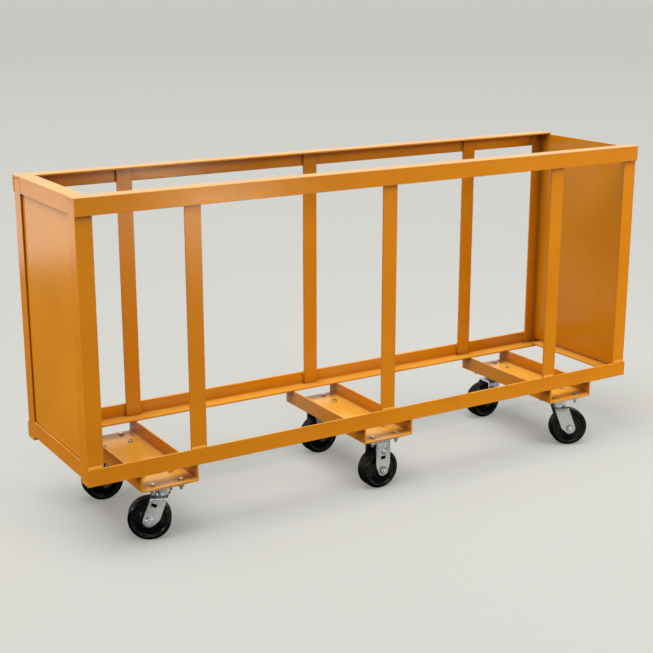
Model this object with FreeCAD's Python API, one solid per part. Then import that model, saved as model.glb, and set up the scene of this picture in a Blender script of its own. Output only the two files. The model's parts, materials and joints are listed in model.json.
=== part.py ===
import FreeCAD, Part
import math
import os

from FreeCAD import Vector

os.makedirs("parts", exist_ok=True)

# Steel angle frame: lengths in millimetres, X along the cart, -Y its front, +Z up, floor at Z = 0
frame_length = 2063.0
frame_width = 508.0
frame_height = 832.0
angle_leg = 50.8
angle_thickness = 6.35
root_radius = 5.0
toe_radius = 3.0
edge_round = 0.8
rail_overhang = 1.5
end_rail_raise = 12.7
snipe_clearance = 0.5

# Flat slats between the long rails, and the sheets that close the two ends
slat_width = 50.8
slat_thickness = 6.35
slat_end_inset = 354.5
panel_thickness = 3.0

# Channels across the underside, sharp outside and rounded in their roots
channel_width = 185.0
channel_height = 50.8
channel_thickness = 4.76
channel_root = 5.0
channel_corner = 1.0
channel_end_inset = 254.5

# Bolted caster plates
plate_length = 127.0
plate_width = 108.0
plate_thickness = 6.35
plate_corner = 9.5
plate_edge_inset = 9.6
bolt_end_margin = 17.45
bolt_side_margin = 15.9
bolt_diameter = 9.5
bolt_head_across = 14.3
bolt_head_height = 6.4
bolt_thread_reach = 8.0
nut_height = 8.3
washer_diameter = 17.2
washer_thickness = 2.3
hole_clearance = 0.4
thread_clearance = 0.1
hex_face_share = 0.97
hex_chamfer_angle = 60.0

# Swivel head: races, balls and kingpin
ball_diameter = 8.0
ball_count = 14
ball_ring_radius = 20.5
race_clearance = 0.3
upper_race_radius = 26.0
upper_race_height = 15.85
race_gap = 2.0
lower_race_radius = 25.5
lower_race_height = 16.0
dust_lip_gap = 1.5
dust_lip_width = 3.5
dust_lip_floor = 5.0
dust_lip_head_gap = 2.5
kingpin_diameter = 14.0
kingpin_head_diameter = 23.0
kingpin_head_height = 3.5
kingpin_nut_across = 24.0
kingpin_nut_height = 8.0
kingpin_end_reach = 2.0
running_gap = 0.3

# Forks
fork_trail = 40.0
fork_thickness = 5.0
fork_bend = 7.0
crown_thickness = 6.0
crown_clearance = 6.0
crown_lead = 20.0
crown_tail = 32.0
lead_corner_forward = 32.0
lead_corner_rise = 2.0
rigid_leg_width = 54.0
rigid_shoulder_rise = 20.0
fork_end_radius = 19.5
slot_length = 17.5
slot_height = 11.0
swivel_slot_forward = 16.5
swivel_slot_rise = 51.0
rigid_slot_rise = 45.0
dimple_radius = 30.0
dimple_depth = 2.5
dimple_rise = 76.0

# Wheels, their roller bearings and axles
wheel_diameter = 132.0
wheel_width = 50.8
wheel_shoulder = 10.0
rim_ring_width = 12.5
web_recess = 6.0
boss_recess = 2.0
boss_radius = 30.0
web_slope = 3.0
hub_radius = 22.0
hub_proud = 3.1
hub_gap = 0.5
wheel_edge_round = 1.0
axle_diameter = 12.7
axle_head_across = 22.2
axle_head_height = 8.0
axle_nut_height = 11.0
axle_thread_reach = 3.0
bush_wall = 3.0
roller_diameter = 4.8
roller_count = 8
roller_end_gap = 4.0
roller_clearance = 0.35
cage_wall = 2.0
cage_end_gap = 1.0

# Where each swivelling wheel trails from its kingpin, in degrees from +X towards +Y
heading_front_left = 153.0
heading_front_right = -25.0
heading_back_left = 180.0
heading_back_right = 180.0

# Heights and half sizes that follow from the sizes above
X_AXIS = Vector(1, 0, 0)
Y_AXIS = Vector(0, 1, 0)
Z_AXIS = Vector(0, 0, 1)
axle_height = wheel_diameter / 2
crown_underside = wheel_diameter + crown_clearance
crown_top = crown_underside + crown_thickness
lower_race_top = crown_top + lower_race_height
upper_race_underside = lower_race_top + race_gap
plate_underside = upper_race_underside + upper_race_height
plate_top = plate_underside + plate_thickness
web_top = plate_top + channel_thickness
frame_low = plate_top + channel_height
frame_high = frame_low + frame_height
half_length = frame_length / 2
half_width = frame_width / 2
end_face = half_length - rail_overhang
post_face = half_width - angle_thickness
end_rail_half = post_face - angle_leg
snipe = root_radius + snipe_clearance
caster_y = half_width - plate_edge_inset - plate_width / 2
channel_x = half_length - channel_end_inset
slat_x = half_length - slat_end_inset
bolt_x = plate_length / 2 - bolt_end_margin
bolt_y = plate_width / 2 - bolt_side_margin
hub_length = wheel_width + 2 * hub_proud
fork_inner = hub_length / 2 + hub_gap
fork_outer = fork_inner + fork_thickness
lip_inner = upper_race_radius + dust_lip_gap
lip_outer = lip_inner + dust_lip_width
bush_radius = axle_diameter / 2 + thread_clearance + bush_wall
roller_ring = bush_radius + roller_clearance + roller_diameter / 2
bore_radius = roller_ring + roller_diameter / 2 + roller_clearance

front_and_back = (("front", -1), ("back", 1))
left_and_right = (("left", -1), ("right", 1))
left_to_right = (("left", -1), ("middle", 0), ("right", 1))


def save(name, shape):
    """Write one named piece, or one group of like pieces."""
    shape.exportStep("parts/" + name + ".step")


def rounded_face(origin, u, v, corners):
    """Flat face through corners (x, y, radius), with x along u, y along v and an arc at each corner."""
    places = [origin + u * x + v * y for x, y, radius in corners]
    starts = []
    ends = []
    middles = []
    for index, (x, y, radius) in enumerate(corners):
        here = places[index]
        back = (places[index - 1] - here).normalize()
        ahead = (places[(index + 1) % len(places)] - here).normalize()
        half_angle = back.getAngle(ahead) / 2
        reach = radius / math.tan(half_angle)
        bisector = (back + ahead).normalize()
        starts.append(here + back * reach)
        ends.append(here + ahead * reach)
        middles.append(here + bisector * (radius / math.sin(half_angle) - radius))
    edges = []
    for index, (x, y, radius) in enumerate(corners):
        edges.append(Part.LineSegment(ends[index - 1], starts[index]).toShape())
        if radius > 0:
            edges.append(Part.Arc(starts[index], middles[index], ends[index]).toShape())
    return Part.Face(Part.Wire(edges))


def block(low, high):
    """Box between two corners."""
    size = high - low
    return Part.makeBox(size.x, size.y, size.z, low)


def rod(radius, low, high):
    """Round bar between two points."""
    return Part.makeCylinder(radius, (high - low).Length, low, high - low)


def hexagon(across, low, high):
    """Hexagonal bar between two points, with the corners of both ends turned down to a cone."""
    run = high - low
    height = run.Length
    side = X_AXIS if abs(run.z) > abs(run.y) else Z_AXIS
    spoke = side * (across / math.sqrt(3))
    turns = (0, 60, 120, 180, 240, 300, 360)
    corners = [low + FreeCAD.Rotation(run, turn).multVec(spoke) for turn in turns]
    bar = Part.Face(Part.makePolygon(corners)).extrude(run)
    face_radius = across / 2 * hex_face_share
    wide_radius = face_radius + height * math.tan(math.radians(hex_chamfer_angle))
    upper = Part.makeCone(wide_radius, face_radius, height, low, run)
    lower = Part.makeCone(face_radius, wide_radius, height, low, run)
    return bar.common(upper).common(lower)


def angle_bar(heel, leg_a, leg_b, run):
    """Rolled angle with its heel at a point, its two legs along leg_a and leg_b, and its length along run."""
    section = rounded_face(heel, leg_a, leg_b, [
        (0, 0, edge_round),
        (angle_leg, 0, edge_round),
        (angle_leg, angle_thickness, toe_radius),
        (angle_thickness, angle_thickness, root_radius),
        (angle_thickness, angle_leg, toe_radius),
        (0, angle_leg, edge_round),
    ])
    return section.extrude(run)


def long_rails():
    """Top and bottom angles along the front and back: one leg stands outside, the other points inward."""
    for side_name, side in front_and_back:
        inward = Y_AXIS * -side
        run = X_AXIS * frame_length
        top_heel = Vector(-half_length, side * half_width, frame_high)
        low_heel = Vector(-half_length, side * half_width, frame_low)
        save("top_rail_" + side_name, angle_bar(top_heel, -Z_AXIS, inward, run))
        save("bottom_rail_" + side_name, angle_bar(low_heel, Z_AXIS, inward, run))


def corner_posts():
    """Angle posts inside the long rails, their ends sniped to clear the rails' root fillets."""
    low = frame_low + angle_thickness
    high = frame_high - angle_thickness
    for side_name, side in front_and_back:
        for end_name, end in left_and_right:
            heel = Vector(end * end_face, side * post_face, low)
            inward_x = X_AXIS * -end
            inward_y = Y_AXIS * -side
            post = angle_bar(heel, inward_x, inward_y, Z_AXIS * (high - low))
            for height, into in ((low, Z_AXIS), (high, -Z_AXIS)):
                corner = Vector(end * end_face, side * post_face, height)
                triangle = [corner, corner + inward_y * snipe, corner + into * snipe, corner]
                wedge = Part.Face(Part.makePolygon(triangle)).extrude(inward_x * angle_leg)
                post = post.cut(wedge)
            save("corner_post_" + side_name + "_" + end_name, post)


def end_rails():
    """Angles welded between the posts at both ends; the right end has a plain flat bar at its top."""
    run = Y_AXIS * (2 * end_rail_half)
    for end_name, end in left_and_right:
        low_heel = Vector(end * end_face, -end_rail_half, frame_low + end_rail_raise)
        save("bottom_rail_" + end_name, angle_bar(low_heel, Z_AXIS, X_AXIS * -end, run))
    # The left top angle's flat leg reaches on to the long rails' flat legs, over the post tops
    cap_half = half_width - angle_leg
    top_heel = Vector(-end_face, -cap_half, frame_high)
    top_rail = angle_bar(top_heel, -Z_AXIS, X_AXIS, Y_AXIS * (2 * cap_half))
    for side_name, side in front_and_back:
        inner_edge = side * end_rail_half
        outer_edge = side * cap_half
        cope_low = Vector(-end_face, min(inner_edge, outer_edge), frame_high - angle_leg)
        cope_high = Vector(-end_face + angle_leg, max(inner_edge, outer_edge), frame_high - angle_thickness)
        top_rail = top_rail.cut(block(cope_low, cope_high))
    save("top_rail_left", top_rail)
    bar_low = frame_high - angle_thickness - angle_leg
    bar = rounded_face(Vector(end_face - angle_thickness, -end_rail_half, bar_low), X_AXIS, Z_AXIS, [
        (0, 0, edge_round),
        (angle_thickness, 0, edge_round),
        (angle_thickness, angle_leg, edge_round),
        (0, angle_leg, edge_round),
    ])
    save("top_bar_right", bar.extrude(run))


def end_panels():
    """Sheets welded to the inner faces of the end rails and posts, clear of their root fillets."""
    edge_y = post_face - angle_thickness - root_radius
    low = frame_low + end_rail_raise + angle_thickness + root_radius
    left_high = frame_high - angle_thickness - root_radius
    right_high = frame_high - angle_thickness
    outer = end_face - angle_thickness
    inner = outer - panel_thickness
    save("end_panel_left", block(Vector(-outer, -edge_y, low), Vector(-inner, edge_y, left_high)))
    save("end_panel_right", block(Vector(inner, -edge_y, low), Vector(outer, edge_y, right_high)))


def slats():
    """Upright flat bars behind the long rails' standing legs, between their flat legs."""
    low = frame_low + angle_thickness
    rise = frame_height - 2 * angle_thickness
    for side_name, side in front_and_back:
        for place_name, place in left_to_right:
            origin = Vector(place * slat_x - slat_width / 2, side * post_face, low)
            section = rounded_face(origin, Y_AXIS * -side, Z_AXIS, [
                (0, snipe, 0),
                (snipe, 0, 0),
                (slat_thickness, 0, 0),
                (slat_thickness, rise, 0),
                (snipe, rise, 0),
                (0, rise - snipe, 0),
            ])
            save("slat_" + side_name + "_" + place_name, section.extrude(X_AXIS * slat_width))


def caster_bolts(x, y):
    """Centres of one caster's four bolts."""
    return [Vector(x + sx * bolt_x, y + sy * bolt_y, 0) for sx in (-1, 1) for sy in (-1, 1)]


def channels():
    """Channels with their flanges up against the long rails and a caster bolted under each end."""
    hole_radius = bolt_diameter / 2 + hole_clearance
    half = channel_width / 2
    inside = half - channel_thickness
    for place_name, place in left_to_right:
        x = place * channel_x
        section = rounded_face(Vector(x, -half_width, plate_top), X_AXIS, Z_AXIS, [
            (-half, channel_height, edge_round),
            (-half, 0, channel_corner),
            (half, 0, channel_corner),
            (half, channel_height, edge_round),
            (inside, channel_height, edge_round),
            (inside, channel_thickness, channel_root),
            (-inside, channel_thickness, channel_root),
            (-inside, channel_height, edge_round),
        ])
        channel = section.extrude(Y_AXIS * frame_width)
        for side_name, side in front_and_back:
            for centre in caster_bolts(x, side * caster_y):
                channel = channel.cut(rod(hole_radius, centre + Z_AXIS * plate_top, centre + Z_AXIS * web_top))
        save("caster_channel_" + place_name, channel)


def mounting_fasteners():
    """Hexagon bolts with their heads on the channel webs, and washers and nuts under the caster plates."""
    bolts = []
    washers = []
    nuts = []
    shank = bolt_diameter / 2
    bore = shank + thread_clearance
    washer_low = plate_underside - washer_thickness
    nut_low = washer_low - nut_height
    for place_name, place in left_to_right:
        for side_name, side in front_and_back:
            for centre in caster_bolts(place * channel_x, side * caster_y):
                web = centre + Z_AXIS * web_top
                tip = centre + Z_AXIS * (nut_low - bolt_thread_reach)
                seat = centre + Z_AXIS * plate_underside
                washer_seat = centre + Z_AXIS * washer_low
                nut_seat = centre + Z_AXIS * nut_low
                head = hexagon(bolt_head_across, web, web + Z_AXIS * bolt_head_height)
                bolts.append(head.fuse(rod(shank, tip, web)).removeSplitter())
                washers.append(rod(washer_diameter / 2, washer_seat, seat).cut(rod(bore, washer_seat, seat)))
                nut = hexagon(bolt_head_across, nut_seat, washer_seat)
                nuts.append(nut.cut(rod(bore, nut_seat, washer_seat)))
    save("mounting_bolts", Part.makeCompound(bolts))
    save("mounting_washers", Part.makeCompound(washers))
    save("mounting_nuts", Part.makeCompound(nuts))


def caster_plate(x, y):
    """Flat caster plate with round corners and four bolt holes."""
    long_half = plate_length / 2
    wide_half = plate_width / 2
    outline = rounded_face(Vector(x, y, plate_underside), X_AXIS, Y_AXIS, [
        (-long_half, -wide_half, plate_corner),
        (long_half, -wide_half, plate_corner),
        (long_half, wide_half, plate_corner),
        (-long_half, wide_half, plate_corner),
    ])
    plate = outline.extrude(Z_AXIS * plate_thickness)
    hole_radius = bolt_diameter / 2 + hole_clearance
    for centre in caster_bolts(x, y):
        plate = plate.cut(rod(hole_radius, centre + Z_AXIS * plate_underside, centre + Z_AXIS * plate_top))
    return plate


def ball_groove():
    """Ring of round section, a little larger than the balls, that is cut from both races."""
    groove_radius = ball_diameter / 2 + race_clearance
    middle = Z_AXIS * (upper_race_underside - race_gap / 2)
    return Part.makeTorus(ball_ring_radius, groove_radius, middle)


def swivel_plate(x, y):
    """Caster plate with the upper ball race under it and a counterbored kingpin hole."""
    place = Vector(x, y, 0)
    race = rod(upper_race_radius, Z_AXIS * upper_race_underside, Z_AXIS * plate_underside)
    race.translate(place)
    plate = caster_plate(x, y).fuse(race).removeSplitter()
    hole = rod(kingpin_diameter / 2 + thread_clearance, Z_AXIS * upper_race_underside, Z_AXIS * plate_top)
    seat_radius = kingpin_head_diameter / 2 + thread_clearance
    counterbore = rod(seat_radius, Z_AXIS * (plate_top - kingpin_head_height), Z_AXIS * plate_top)
    for cutter in (hole, counterbore, ball_groove()):
        cutter.translate(place)
        plate = plate.cut(cutter)
    return plate


def kingpin():
    """Swivel pin with a flush round head in the plate and a nut under the fork crown."""
    pin_radius = kingpin_diameter / 2
    nut_top = crown_underside - running_gap
    nut_low = nut_top - kingpin_nut_height
    head = rod(kingpin_head_diameter / 2, Z_AXIS * (plate_top - kingpin_head_height), Z_AXIS * plate_top)
    pin = rod(pin_radius, Z_AXIS * (nut_low - kingpin_end_reach), Z_AXIS * plate_top).fuse(head)
    nut = hexagon(kingpin_nut_across, Z_AXIS * nut_low, Z_AXIS * nut_top)
    nut = nut.cut(rod(pin_radius + thread_clearance, Z_AXIS * nut_low, Z_AXIS * nut_top))
    return pin.removeSplitter(), nut


def bearing_balls():
    """One swivel head's ring of loose balls."""
    middle = upper_race_underside - race_gap / 2
    spoke = X_AXIS * ball_ring_radius + Z_AXIS * middle
    turn = 360 / ball_count
    centres = [FreeCAD.Rotation(Z_AXIS, turn * step).multVec(spoke) for step in range(ball_count)]
    return [Part.makeSphere(ball_diameter / 2, centre) for centre in centres]


def bent_strip(top, crown, front, back):
    """Strip from X = front to X = back, bent down at both sides of a crown."""
    low = axle_height - fork_end_radius
    section = rounded_face(Vector(front, 0, 0), Y_AXIS, Z_AXIS, [
        (-fork_outer, low, 0),
        (-fork_outer, top, fork_bend + fork_thickness),
        (fork_outer, top, fork_bend + fork_thickness),
        (fork_outer, low, 0),
        (fork_inner, low, 0),
        (fork_inner, top - crown, fork_bend),
        (-fork_inner, top - crown, fork_bend),
        (-fork_inner, low, 0),
    ])
    return section.extrude(X_AXIS * (back - front))


def tangent_point(outside, centre, radius, turn):
    """Where the line from an outside point touches a circle in the XZ plane, on the side given by turn."""
    spoke = outside - centre
    swing = math.degrees(math.acos(radius / spoke.Length)) * turn
    return centre + FreeCAD.Rotation(Y_AXIS, swing).multVec(spoke.normalize() * radius)


def leg_outline(front_top, back_top, front_corner, back_corner, axle):
    """Side view of a fork leg: straight sides to two corners, then tangents to a round end at the axle."""
    front_touch = tangent_point(front_corner, axle, fork_end_radius, -1)
    back_touch = tangent_point(back_corner, axle, fork_end_radius, 1)
    across = (back_touch - front_touch).normalize()
    bottom = axle + Y_AXIS.cross(across) * fork_end_radius
    corners = [front_touch, front_corner, front_top, back_top, back_corner, back_touch]
    edges = [
        Part.LineSegment(first, second).toShape()
        for first, second in zip(corners, corners[1:])
        if (second - first).Length > 0
    ]
    edges.append(Part.Arc(back_touch, bottom, front_touch).toShape())
    return Part.Face(Part.Wire(edges))


def leg_slot(middle, lean, reach_low, reach_high):
    """Rectangular slot through the legs between two Y places, leaning with the leg."""
    slot = block(
        Vector(-slot_length / 2, reach_low, -slot_height / 2),
        Vector(slot_length / 2, reach_high, slot_height / 2),
    )
    slot.rotate(Vector(0, 0, 0), Y_AXIS, lean)
    slot.translate(middle)
    return slot


def cut_fork(outline, strip, axle):
    """Fork trimmed from its bent strip to the leg outline, with the axle hole through both legs."""
    outline.translate(Y_AXIS * -fork_outer)
    fork = strip.common(outline.extrude(Y_AXIS * (2 * fork_outer)))
    hole_radius = axle_diameter / 2 + thread_clearance
    return fork.cut(rod(hole_radius, axle - Y_AXIS * fork_outer, axle + Y_AXIS * fork_outer))


def swivel_fork():
    """Trailing fork with one slotted leg, and the lower ball race and its dust lip on the crown."""
    axle = Vector(fork_trail, 0, axle_height)
    front_top = Vector(-crown_lead, 0, crown_top)
    back_top = Vector(crown_tail, 0, crown_top)
    lead_corner = Vector(fork_trail - lead_corner_forward, 0, axle_height + lead_corner_rise)
    strip = bent_strip(crown_top, crown_thickness, -crown_lead, fork_trail + fork_end_radius)
    outline = leg_outline(front_top, back_top, lead_corner, back_top, axle)
    fork = cut_fork(outline, strip, axle)
    # The slot leans with the leg's leading side
    leg_rise = front_top - lead_corner
    slot_middle = axle + Vector(-swivel_slot_forward, 0, swivel_slot_rise)
    lean = math.degrees(math.atan2(leg_rise.x, leg_rise.z))
    fork = fork.cut(leg_slot(slot_middle, lean, 0, fork_outer))
    race = rod(lower_race_radius, Z_AXIS * crown_top, Z_AXIS * lower_race_top)
    lip_top = plate_underside - dust_lip_head_gap
    lip = rod(lip_outer, Z_AXIS * (lower_race_top - dust_lip_floor), Z_AXIS * lip_top)
    lip = lip.cut(rod(lip_inner, Z_AXIS * lower_race_top, Z_AXIS * lip_top))
    fork = fork.fuse(race).fuse(lip).removeSplitter()
    fork = fork.cut(ball_groove())
    return fork.cut(rod(kingpin_diameter / 2 + running_gap, Z_AXIS * crown_underside, Z_AXIS * lower_race_top))


def rigid_fork():
    """Straight fork under its plate, slotted through both legs, with a round dimple high on each."""
    axle = Vector(0, 0, axle_height)
    half = rigid_leg_width / 2
    shoulder = axle_height + rigid_shoulder_rise
    tops = [Vector(-half, 0, plate_underside), Vector(half, 0, plate_underside)]
    shoulders = [Vector(-half, 0, shoulder), Vector(half, 0, shoulder)]
    strip = bent_strip(plate_underside, fork_thickness, -half, half)
    fork = cut_fork(leg_outline(*tops, *shoulders, axle), strip, axle)
    slot_middle = Vector(0, 0, axle_height + rigid_slot_rise)
    fork = fork.cut(leg_slot(slot_middle, 0, -fork_outer, fork_outer))
    for side_name, side in front_and_back:
        reach = fork_outer + dimple_radius - dimple_depth
        centre = Vector(0, side * reach, axle_height + dimple_rise)
        fork = fork.cut(Part.makeSphere(dimple_radius, centre))
    return fork


def axle_pieces(trail):
    """Axle bolt, its nut on the front side, and the bush that the wheel's rollers run on."""
    centre = Vector(trail, 0, axle_height)
    radius = axle_diameter / 2
    face = Y_AXIS * fork_outer
    inner = Y_AXIS * fork_inner
    nut_end = face + Y_AXIS * axle_nut_height
    tip = nut_end + Y_AXIS * axle_thread_reach
    head = hexagon(axle_head_across, centre + face, centre + face + Y_AXIS * axle_head_height)
    bolt = head.fuse(rod(radius, centre - tip, centre + face)).removeSplitter()
    nut = hexagon(axle_head_across, centre - nut_end, centre - face)
    nut = nut.cut(rod(radius + thread_clearance, centre - nut_end, centre - face))
    bush = rod(bush_radius, centre - inner, centre + inner)
    bush = bush.cut(rod(radius + thread_clearance, centre - inner, centre + inner))
    return bolt, nut, bush


def wheel(trail):
    """Wheel turned about its axle: proud hub on a boss, sunk web, flat rim ring and rounded tread."""
    centre = Vector(trail, 0, axle_height)
    tread = wheel_diameter / 2
    half = wheel_width / 2
    hub_half = hub_length / 2
    boss_half = half - boss_recess
    web_half = half - web_recess
    rim_inner = tread - rim_ring_width
    half_section = [
        (bore_radius, hub_half, 0),
        (hub_radius, hub_half, wheel_edge_round),
        (hub_radius + web_slope, boss_half, wheel_edge_round),
        (boss_radius, boss_half, wheel_edge_round),
        (boss_radius + web_slope, web_half, wheel_edge_round),
        (rim_inner - web_slope, web_half, wheel_edge_round),
        (rim_inner, half, wheel_edge_round),
        (tread, half, wheel_shoulder),
    ]
    other_half = [(radius, -place, corner) for radius, place, corner in reversed(half_section)]
    section = rounded_face(centre, Z_AXIS, Y_AXIS, half_section + other_half)
    return section.revolve(centre, Y_AXIS, 360)


def roller_bearing(trail):
    """Caged needle rollers between the axle bush and the wheel's bore."""
    centre = Vector(trail, 0, axle_height)
    roller_reach = Y_AXIS * (hub_length / 2 - roller_end_gap)
    cage_reach = Y_AXIS * (hub_length / 2 - cage_end_gap)
    cage = rod(roller_ring + cage_wall / 2, centre - cage_reach, centre + cage_reach)
    cage = cage.cut(rod(roller_ring - cage_wall / 2, centre - cage_reach, centre + cage_reach))
    rollers = []
    pocket_gap = Y_AXIS * roller_clearance
    for step in range(roller_count):
        spoke = FreeCAD.Rotation(Y_AXIS, 360 / roller_count * step).multVec(Z_AXIS * roller_ring)
        low = centre + spoke - roller_reach
        high = centre + spoke + roller_reach
        rollers.append(rod(roller_diameter / 2, low, high))
        pocket_radius = roller_diameter / 2 + roller_clearance
        cage = cage.cut(rod(pocket_radius, low - pocket_gap, high + pocket_gap))
    return Part.makeCompound(rollers + [cage])


def placed(shape, x, y, heading):
    """Copy of a caster piece, turned to its heading and moved to its plate's centre."""
    copy = shape.copy()
    copy.rotate(Vector(0, 0, 0), Z_AXIS, heading)
    copy.translate(Vector(x, y, 0))
    return copy


def swivel_casters():
    """Four swivelling casters under the end channels."""
    headings = {
        "front_left": heading_front_left,
        "front_right": heading_front_right,
        "back_left": heading_back_left,
        "back_right": heading_back_right,
    }
    pin, pin_nut = kingpin()
    fork = swivel_fork()
    axle = Part.makeCompound(list(axle_pieces(fork_trail)))
    pins = []
    pin_nuts = []
    balls = []
    for side_name, side in front_and_back:
        for end_name, end in left_and_right:
            corner = side_name + "_" + end_name
            x = end * channel_x
            y = side * caster_y
            heading = headings[corner]
            save("swivel_plate_" + corner, swivel_plate(x, y))
            save("swivel_fork_" + corner, placed(fork, x, y, heading))
            save("axle_set_" + corner, placed(axle, x, y, heading))
            save("wheel_" + corner, placed(wheel(fork_trail), x, y, heading))
            save("roller_bearing_" + corner, placed(roller_bearing(fork_trail), x, y, heading))
            pins.append(placed(pin, x, y, 0))
            pin_nuts.append(placed(pin_nut, x, y, 0))
            balls.extend(placed(ball, x, y, 0) for ball in bearing_balls())
    save("kingpins", Part.makeCompound(pins))
    save("kingpin_nuts", Part.makeCompound(pin_nuts))
    save("swivel_balls", Part.makeCompound(balls))


def rigid_casters():
    """Two fixed casters under the middle channel."""
    bolt, nut, bush = axle_pieces(0)
    bolts = []
    nuts = []
    bushes = []
    for side_name, side in front_and_back:
        place = side_name + "_middle"
        y = side * caster_y
        save("rigid_plate_" + place, caster_plate(0, y))
        save("rigid_fork_" + place, placed(rigid_fork(), 0, y, 0))
        save("wheel_" + place, placed(wheel(0), 0, y, 0))
        save("roller_bearing_" + place, placed(roller_bearing(0), 0, y, 0))
        bolts.append(placed(bolt, 0, y, 0))
        nuts.append(placed(nut, 0, y, 0))
        bushes.append(placed(bush, 0, y, 0))
    save("rigid_axle_bolts", Part.makeCompound(bolts))
    save("rigid_axle_nuts", Part.makeCompound(nuts))
    save("rigid_axle_bushes", Part.makeCompound(bushes))


long_rails()
corner_posts()
end_rails()
end_panels()
slats()
channels()
mounting_fasteners()
swivel_casters()
rigid_casters()
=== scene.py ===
import bmesh
import bpy
import json
import math
import numpy as np
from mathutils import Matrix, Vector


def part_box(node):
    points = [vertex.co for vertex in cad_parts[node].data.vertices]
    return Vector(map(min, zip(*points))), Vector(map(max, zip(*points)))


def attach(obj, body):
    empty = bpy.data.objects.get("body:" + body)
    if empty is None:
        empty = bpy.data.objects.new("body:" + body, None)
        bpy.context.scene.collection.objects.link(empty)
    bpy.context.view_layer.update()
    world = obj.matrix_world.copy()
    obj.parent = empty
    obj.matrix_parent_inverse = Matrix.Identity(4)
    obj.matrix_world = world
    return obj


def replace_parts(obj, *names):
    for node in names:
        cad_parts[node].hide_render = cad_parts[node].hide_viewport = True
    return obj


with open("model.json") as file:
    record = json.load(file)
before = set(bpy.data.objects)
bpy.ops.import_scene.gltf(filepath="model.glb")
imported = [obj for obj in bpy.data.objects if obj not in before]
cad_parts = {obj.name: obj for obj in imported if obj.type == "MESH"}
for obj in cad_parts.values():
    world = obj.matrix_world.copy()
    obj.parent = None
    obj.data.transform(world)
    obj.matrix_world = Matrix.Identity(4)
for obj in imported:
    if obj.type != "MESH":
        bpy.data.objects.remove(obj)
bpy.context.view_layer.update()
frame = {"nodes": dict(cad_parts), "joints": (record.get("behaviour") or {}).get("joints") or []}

# Camera
# It stands off the cart's front left corner, a little above the top rails, and looks slightly down.
# The lens is moderately long, so the rails stay nearly parallel.
camera_place = (-2.2605, -3.5614, 1.6633)
camera_yaw = 0.549
camera_pitch = -0.268
film_width = 36
lens_length = 72
sight_end = 400
camera = bpy.data.objects.new("camera", bpy.data.cameras.new("camera"))
camera.data.sensor_width = film_width
camera.data.lens = lens_length
camera.data.clip_end = sight_end
camera.location = camera_place
camera.rotation_euler = (math.pi / 2 + camera_pitch, 0, -camera_yaw)
bpy.context.scene.collection.objects.link(camera)
bpy.context.scene.camera = camera
bpy.context.scene.view_settings.view_transform = "Standard"

# Rolled steel angles and flat bars of the frame
# Hot-rolled mild steel, sawn to length and welded up; then the whole frame was sprayed with orange enamel.
# The bars keep the low waves of rolling, which the gloss shows as slow wobbles in its reflections.
mm = 0.001
bar_coat = ("#C2740B", "#CC7D0E")
bar_waves = (110 * mm, 0.10 * mm)
# Share of the painted yellow highlight on what faces up
bar_top_highlight = 0.25


def linear(colour):
    """A hex sRGB colour as linear red, green, blue and alpha: a straight line near black, then a power."""
    levels = np.array([int(colour[place:place + 2], 16) for place in (1, 3, 5)]) / 255
    low = levels / 12.92
    high = ((levels + 0.055) / 1.055) ** 2.4
    return (*np.where(levels <= 0.04045, low, high), 1)


def add(tree, kind, inputs, **settings):
    """One node with its settings; each input is a plain value or another node's output."""
    node = tree.nodes.new("ShaderNode" + kind)
    for name, value in settings.items():
        setattr(node, name, value)
    for key, value in inputs.items():
        if isinstance(value, bpy.types.NodeSocket):
            tree.links.new(value, node.inputs[key])
        else:
            node.inputs[key].default_value = value
    return node


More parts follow.
